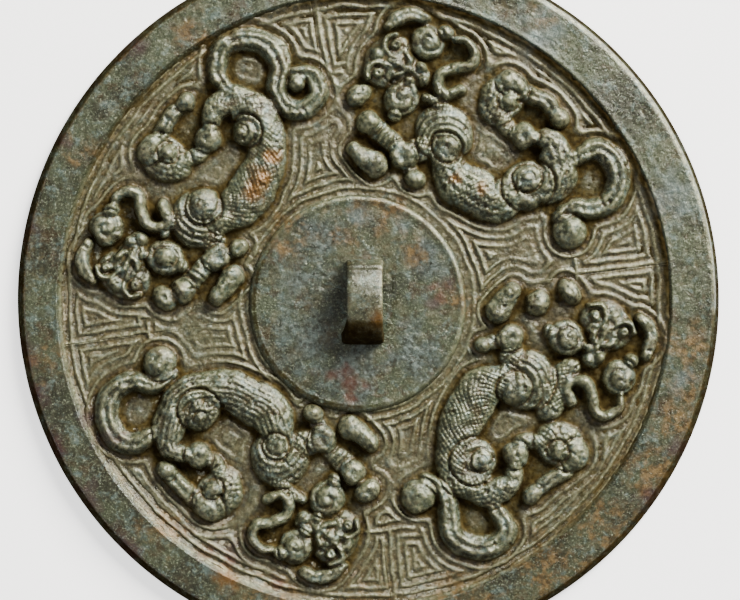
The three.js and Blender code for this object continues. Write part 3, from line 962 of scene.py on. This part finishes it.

# %% [markdown]
# ## The boss
#
# A low plain drum with a rounded edge and a slightly raised rim. It is almost flat, so what shows is its
# corrosion: shallow dents some millimetres across, and fine pits. The rim has a painted highlight on its lit
# side only.

# %% The boss's profile
AROUND_BOSS = 480
BOSS_TOP = FIELD_THICKNESS + BOSS_RISE
BOSS_ROUNDING = 0.9
quarter_turn = np.linspace(0, math.pi / 2, 9)[1:]
boss_flat = BOSS_RADIUS - BOSS_ROUNDING
boss_top_rows = stretch((0.6, BOSS_TOP, 0, 1), (boss_flat, BOSS_TOP, 0, 1), 62)
boss_edge = np.stack([
    boss_flat + BOSS_ROUNDING * np.sin(quarter_turn),
    BOSS_TOP - BOSS_ROUNDING + BOSS_ROUNDING * np.cos(quarter_turn),
    np.zeros_like(quarter_turn),
    1 - 0.6 * quarter_turn / quarter_turn[-1],
], axis=-1)
boss_foot = np.array([(BOSS_RADIUS, SLAB_BOTTOM, 0, 0), (0.6, SLAB_BOTTOM, 0, 0)])
boss_rows = np.concatenate([boss_top_rows, boss_edge, boss_foot])[::-1]

# %% [markdown]
# The boss is turned from its profile like the disc, dented, and coloured by height, with a painted highlight
# on the lit side of its rim and painted shade at its foot and on the rim's unlit side.

# %% The boss
x, y, z = turned_points(boss_rows, circle(AROUND_BOSS), BOSS_CENTRE, BOSS_CENTRE)
from_x = x - BOSS_CENTRE[0]
from_y = y - BOSS_CENTRE[1]
from_middle = np.hypot(from_x, from_y)
dents = 0.09 * rough(x, y, 5.0, 43) + 0.04 * rough(x, y, 0.9, 45, 2)
corroded = -0.10 * ease(rough(x, y, 1.6, 47, 2), 0.7, 1.2)
crown = 0.22 * bump(from_middle, boss_flat, 0.6)
z += boss_rows[:, 3] * (dents + corroded + crown)
# Painted highlight on the lit side of the rim; painted shade at the foot and on the rim's unlit side.
lit = ease(facing(from_x, from_y, KEY_AZIMUTH), -0.5, 0.4)
unlit = ease(facing(from_x, from_y, 215), 0.0, 0.7)
foot_shade = 0.8 * ease(from_middle, BOSS_RADIUS - 0.2, BOSS_RADIUS)
boss_values = {
    "hollow": 0.4 * ease(-dents - corroded, 0.02, 0.16),
    "crest_wear_and_highlight": 0.9 * bump(from_middle, BOSS_RADIUS - 0.5, 0.45) * (0.15 + 0.85 * lit),
    "shade": np.maximum(foot_shade, bump(from_middle, BOSS_RADIUS - 1.1, 0.5) * unlit),
    "ground": 0.4 * ease(rough(x, y, 2.6, 53), -0.2, 0.8),
}
boss_values.update(stains(x, y))
turned_piece("boss", x, y, z, boss_values)

# %% [markdown]
# ## The strap loop
#
# The cord's loop is a strap that springs from the boss, arches over and comes down again. It is a closed
# section carried along an arch. The arch has an inner and an outer line, half an ellipse each, so the strap
# is thicker at its feet. The section is a rounded rectangle. Shallow lines run across it near the upper
# foot. The lower foot has earth, painted shade and a little rust, the inner side has painted shade, and the
# right edge and the top have painted highlights.

# %% Sizes of the loop, in millimetres
LOOP_CENTRE = np.array([-0.7, -0.5])
LOOP_WIDTH = 7.8
LOOP_WAIST = 0.8
LOOP_FOOT = 3.0
LOOP_CROWN = 1.7
LOOP_OPENING_LENGTH = 11.2
LOOP_OPENING_HEIGHT = 5.6
LOOP_LENGTH = LOOP_OPENING_LENGTH + 2 * LOOP_FOOT
FOOT_DEPTH = 0.5  # how far the feet are sunk into the boss
FOOT_FLARE = 0.9  # how far the lower foot spreads to the left


def superellipse(angle, power):
    """Cosine and sine of an angle, each with its size raised to 2 / power: squarer as the power grows."""
    c = np.cos(angle)
    s = np.sin(angle)
    return np.sign(c) * np.abs(c) ** (2 / power), np.sign(s) * np.abs(s) ** (2 / power)


# %% [markdown]
# A point of the strap is found in two steps: how far along the arch it lies, and where on the section. The
# wear is added to both the width and the thickness.

# %% The strap along its arch
ALONG_LOOP = 150
ROUND_SECTION = 72
arch = np.linspace(-0.06, math.pi + 0.06, ALONG_LOOP)[:, None]
along_out, up_out = superellipse(arch, 2.25)
along_in, up_in = superellipse(arch, 2.05)
outer_line = np.stack([LOOP_LENGTH / 2 * along_out, (LOOP_OPENING_HEIGHT + LOOP_CROWN) * up_out])
inner_line = np.stack([LOOP_OPENING_LENGTH / 2 * along_in, LOOP_OPENING_HEIGHT * up_in])
middle = (outer_line + inner_line) / 2
half = (outer_line - inner_line) / 2
width = LOOP_WIDTH / 2 - LOOP_WAIST / 2 * np.sin(np.clip(arch, 0, math.pi)) ** 0.7
side, thick = superellipse(circle(ROUND_SECTION).T, 5.0)
cut_lines = 0.10 * wave(middle[0], 0.85) * ease(middle[0], 4.2, 5.2) * (1 - ease(middle[0], 7.6, 8.2))
x = LOOP_CENTRE[0] + width * side
y = LOOP_CENTRE[1] + middle[0] + half[0] * thick
z = BOSS_TOP + middle[1] + (half[1] + cut_lines) * thick
wear = 0.05 * rough(x + z, y - z, 1.1, 91, 2) + 0.10 * rough(x, y, 4.0, 93)
x = x + wear * side * 0.6 - FOOT_FLARE * ease(-middle[0], 3.5, 8.0) * (1 - side) / 2
z = np.maximum(z + wear * thick, BOSS_TOP - FOOT_DEPTH)

# %% [markdown]
# The section closes on itself, but the arch doesn't, so each of its two feet gets a flat face as an end.

# %% The loop
last_ring = (ALONG_LOOP - 1) * ROUND_SECTION
loop_ends = [list(range(ROUND_SECTION))[::-1], list(range(last_ring, last_ring + ROUND_SECTION))]
i = np.arange(ALONG_LOOP - 1)[:, None]
j = np.arange(ROUND_SECTION)[None, :]
here = i * ROUND_SECTION + j
beside = i * ROUND_SECTION + (j + 1) % ROUND_SECTION
loop_faces = np.stack([here, beside, beside + ROUND_SECTION, here + ROUND_SECTION], axis=-1).reshape(-1, 4)
# Painted highlights on the right edge and the top, which face the light; painted shade on the lower foot and
# the inner side, with earth on the lower foot.
right_edge = bump(side, 0.95, 0.12) * (thick > 0)
foot_earth_and_shade = ease(LOOP_CENTRE[1] - 3.4 - y + 0.5 * rough(x, y, 1.5, 95), -0.6, 1.2)
strap_highlights = np.clip(0.9 * right_edge + 0.3 * ease(z, BOSS_TOP + 5, BOSS_TOP + 7), 0, 1)
loop_values = {
    "hollow": np.clip(-wear / 0.12, 0, 1) * 0.5 + 0.4 * ease(BOSS_TOP + 1.0 - z, 0, 1) + 0.5 * foot_earth_and_shade,
    "crest_wear_and_highlight": strap_highlights * (1 - 0.5 * foot_earth_and_shade),
    "shade": np.clip(foot_earth_and_shade + 0.5 * (thick < 0), 0, 1),
    "ground": 0.5 * foot_earth_and_shade,
    "rust": bump(x, 1.9, 1.3) * bump(y, -3.9, 1.8) * (thick > 0),
}
for kind in ("red", "purple", "blue", "brown", "slate"):
    loop_values[kind] = np.zeros_like(x)
loop_points = np.stack([x, y, z], axis=-1).reshape(-1, 3)
new_piece("loop", loop_points, loop_faces, loop_ends, loop_values)

# %% [markdown]
# ## The patina
#
# Bronze from dry earth has a thin grey-green skin with bluish clouds, brown earth where nothing wiped it
# off, and a paler tone where it was touched. The material is built in that order, as layers over each
# other, each with a mask: noise for the clouds, and the attributes for clay, earth, wear with painted
# highlights, and stains. The shade comes last, over everything. Noise reads Object coordinates, which are
# in metres, so a scale of 200 gives spots of 5 mm.

# %% A new material
def colour(hex_code):
    """A colour as paint shops write it, turned into the linear values that the shader works with."""
    channels = [int(hex_code[k : k + 2], 16) / 255 for k in (0, 2, 4)]
    return tuple(c / 12.92 if c <= 0.04045 else ((c + 0.055) / 1.055) ** 2.4 for c in channels) + (1.0,)


material = bpy.data.materials.new("patinated_bronze_skin")
material.use_nodes = True
nodes = material.node_tree.nodes
wires = material.node_tree.links
nodes.clear()
place = nodes.new("ShaderNodeTexCoord").outputs["Object"]

# %% [markdown]
# Every helper adds one node and gives back its output, so that layers can be written like sums.

# %% Helpers for its nodes


def noise(scale, detail=4.0, roughness=0.55, distortion=0.0):
    """Fractal noise at a scale per metre, about 0.2 to 0.8."""
    node = nodes.new("ShaderNodeTexNoise")
    wires.new(place, node.inputs["Vector"])
    node.inputs["Scale"].default_value = scale
    node.inputs["Detail"].default_value = detail
    node.inputs["Roughness"].default_value = roughness
    node.inputs["Distortion"].default_value = distortion
    return node.outputs["Fac"]


def attribute(name):
    """A value that was stored on the points of the mesh."""
    node = nodes.new("ShaderNodeAttribute")
    node.attribute_name = name
    return node.outputs["Fac"]


def between(value, start, end, low_value=0.0, high_value=1.0):
    """Carries a value from start..end smoothly over to low..high, and no further."""
    node = nodes.new("ShaderNodeMapRange")
    node.interpolation_type = "SMOOTHSTEP"
    wires.new(value, node.inputs["Value"])
    numbers = {"From Min": start, "From Max": end, "To Min": low_value, "To Max": high_value}
    for socket, number in numbers.items():
        node.inputs[socket].default_value = number
    return node.outputs["Result"]


def times(a, b):
    """The product of two values, each a socket or a number, kept within 0 to 1."""
    node = nodes.new("ShaderNodeMath")
    node.operation = "MULTIPLY"
    node.use_clamp = True
    for socket, value in zip(node.inputs, (a, b)):
        if isinstance(value, (int, float)):
            socket.default_value = value
        else:
            wires.new(value, socket)
    return node.outputs[0]


def layer(under, over, mask):
    """Lays a colour over another as far as the mask says. Each colour is a socket or a colour value."""
    node = nodes.new("ShaderNodeMix")
    node.data_type = "RGBA"
    wires.new(mask, node.inputs["Factor"])
    for socket, value in zip((node.inputs[6], node.inputs[7]), (under, over)):
        if isinstance(value, tuple):
            socket.default_value = value
        else:
            wires.new(value, socket)
    return node.outputs[2]


# %% [markdown]
# The skin comes first, with its clouds and specks, then clay where the ground shows and earth in hollows.

# %% The skin, the clay on the ground and the earth in the hollows
grain = noise(2600, 5, 0.65)
skin = layer(colour("25281a"), colour("3c432f"), between(noise(140, 6), 0.38, 0.62))
skin = layer(skin, colour("5b6d68"), between(noise(420, 6, 0.7, 0.3), 0.5, 0.66, 0.0, 0.7))
skin = layer(skin, colour("33260f"), between(noise(200, 6, 0.7, 0.3), 0.53, 0.64, 0.0, 0.75))
skin = layer(skin, colour("17170d"), between(grain, 0.54, 0.64, 0.0, 0.75))
skin = layer(skin, colour("929b82"), between(grain, 0.45, 0.34, 0.0, 0.6))
clay = layer(colour("3d3518"), colour("706a4c"), between(noise(700, 6, 0.65), 0.38, 0.62))
skin = layer(skin, clay, times(attribute("ground"), 0.55))
earth = layer(colour("2a200c"), colour("5a4d2a"), between(noise(900, 5), 0.35, 0.65))
earthy = times(attribute("hollow"), between(noise(300, 4), 0.25, 0.6, 0.5, 1.0))
body = layer(skin, earth, times(earthy, 0.9))

# %% [markdown]
# Wear lightens the crests of the relief, and painted highlights lighten the lit edges of disc, boss and loop.
# The stains lie over it, and the shade over them all.

# %% Wear and painted highlights, stains and shade
shades = attribute("shade")
# Wear on the relief's crests and painted highlights on the lit edges of disc, boss and loop, laid on as a
# pale tone.
pale_wear_and_highlight = times(attribute("crest_wear_and_highlight"), between(noise(1300, 5, 0.65), 0.4, 0.6, 0.05, 1.0))
body = layer(body, colour("b4b38c"), times(pale_wear_and_highlight, 0.36))
slate_skin = layer(colour("1b1e19"), colour("5a6662"), between(noise(1100, 5, 0.7), 0.38, 0.62))
body = layer(body, slate_skin, times(attribute("slate"), 0.75))
brown_skin = layer(colour("3a2a0c"), colour("6b5530"), between(noise(800, 5, 0.65), 0.4, 0.6))
brown_clouds = between(noise(450, 6, 0.6), 0.42, 0.56, 0.1, 0.85)
body = layer(body, brown_skin, times(attribute("brown"), brown_clouds))
PLAIN_STAINS = {
    "rust": ("62400a", 0.8), "red": ("522314", 0.5), "purple": ("3b1d28", 0.5), "blue": ("6a7a7c", 0.3),
}
for kind, (paint, strength) in PLAIN_STAINS.items():
    body = layer(body, colour(paint), times(attribute(kind), strength))
deep = times(shades, between(noise(600, 4), 0.35, 0.65, 0.75, 1.0))
body = layer(body, colour("170f05"), times(deep, 0.9))
print("the patina has", len(nodes), "nodes")

# %% [markdown]
# Worn crests and painted highlights are a little smoother than the rest. In the shade the sheen is taken
# away: a deep place would otherwise mirror the bright floor, and the dark bevel would look grey.

# %% The shader
shader = nodes.new("ShaderNodeBsdfPrincipled")
output = nodes.new("ShaderNodeOutputMaterial")
gleam = between(shades, 0.2, 0.6, 1.0, 0.0)
smoothed = nodes.new("ShaderNodeMath")
smoothed.operation = "SUBTRACT"
wires.new(between(noise(900, 5), 0.35, 0.65, 0.22, 0.36), smoothed.inputs[0])
wires.new(times(pale_wear_and_highlight, 0.06), smoothed.inputs[1])
fine = nodes.new("ShaderNodeBump")
fine.inputs["Strength"].default_value = 0.5
fine.inputs["Distance"].default_value = 0.4 * MM
wires.new(noise(1700, 6, 0.7), fine.inputs["Height"])
wires.new(body, shader.inputs["Base Color"])
wires.new(smoothed.outputs[0], shader.inputs["Roughness"])
wires.new(times(gleam, 0.35), shader.inputs["Metallic"])
wires.new(times(gleam, 0.65), shader.inputs["Specular IOR Level"])
wires.new(fine.outputs["Normal"], shader.inputs["Normal"])
wires.new(shader.outputs["BSDF"], output.inputs["Surface"])

# %% [markdown]
# ## Each piece rides on the casting
#
# All pieces are parts of one casting, so each takes the place of the solid mirror and moves with it.

# %% Giving the pieces to the frame
for piece in made:
    piece.data.materials.append(material)
    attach(piece, "root")
    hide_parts("mirror")

# %% [markdown]
# ## Camera and light
#
# The picture was taken from straight above, and the mirror fills it, on paper that is so pale that it seems
# to shine. So the floor gives off some light of its own.

# %% The floor
FLOOR_REACH = 3.0  # metres from the middle to each side
floor_mesh = bpy.data.meshes.new("floor")
corners = np.array([(-1, -1, 0), (1, -1, 0), (1, 1, 0), (-1, 1, 0)]) * FLOOR_REACH
floor_mesh.from_pydata(corners, [], [(0, 1, 2, 3)])
floor = bpy.data.objects.new("floor", floor_mesh)
bpy.context.scene.collection.objects.link(floor)
paper = bpy.data.materials.new("floor_paper")
paper.use_nodes = True
paper_shader = paper.node_tree.nodes["Principled BSDF"]
paper_shader.inputs["Base Color"].default_value = (0.9, 0.9, 0.9, 1)
paper_shader.inputs["Roughness"].default_value = 0.9
paper_shader.inputs["Emission Color"].default_value = (1, 1, 1, 1)
paper_shader.inputs["Emission Strength"].default_value = 1.4
floor_mesh.materials.append(paper)

# %% [markdown]
# The camera hangs over the back with a long lens, so high that the rim's width just fills the picture.

# %% The camera
CAMERA_LENS = 100.0  # mm
CAMERA_SENSOR = 36.0  # mm
PICTURE_WIDTH = 148.0  # mm at the height of the rim
PICTURE_CENTRE = (0.34, -0.16)  # mm, because the mirror isn't quite in the middle of the picture
view_distance = PICTURE_WIDTH * CAMERA_LENS / CAMERA_SENSOR
camera_data = bpy.data.cameras.new("camera")
camera_data.lens = CAMERA_LENS
camera_data.sensor_width = CAMERA_SENSOR
camera = bpy.data.objects.new("camera", camera_data)
camera.location = (PICTURE_CENTRE[0] * MM, PICTURE_CENTRE[1] * MM, (RIM_TOP + view_distance) * MM)
bpy.context.scene.collection.objects.link(camera)
bpy.context.scene.camera = camera

# %% [markdown]
# One soft key light from the upper right rakes over the relief, so each form has a bright side and a dark
# one. A weak light from the lower left and an even one from all round keep the dark sides readable.

# %% The lights
WARM_WHITE = (1.0, 0.97, 0.91)


def soft_light(name, azimuth_degrees, elevation_degrees, distance, size, watts):
    """A square area light at a direction from the mirror, turned towards it."""
    data = bpy.data.lights.new(name, "AREA")
    data.size = size
    data.energy = watts
    data.color = WARM_WHITE
    light = bpy.data.objects.new(name, data)
    a = math.radians(azimuth_degrees)
    e = math.radians(elevation_degrees)
    level = distance * math.cos(e)
    light.location = (level * math.cos(a), level * math.sin(a), distance * math.sin(e))
    light.rotation_euler = (math.pi / 2 - e, 0, a + math.pi / 2)
    bpy.context.scene.collection.objects.link(light)


soft_light("key", azimuth_degrees=KEY_AZIMUTH, elevation_degrees=30, distance=1.2, size=0.6, watts=73)
soft_light("fill", azimuth_degrees=215, elevation_degrees=60, distance=1.5, size=1.2, watts=5)
world = bpy.data.worlds.new("studio")
world.use_nodes = True
sky = world.node_tree.nodes["Background"]
sky.inputs["Color"].default_value = (1, 1, 1, 1)
sky.inputs["Strength"].default_value = 0.31
bpy.context.scene.world = world
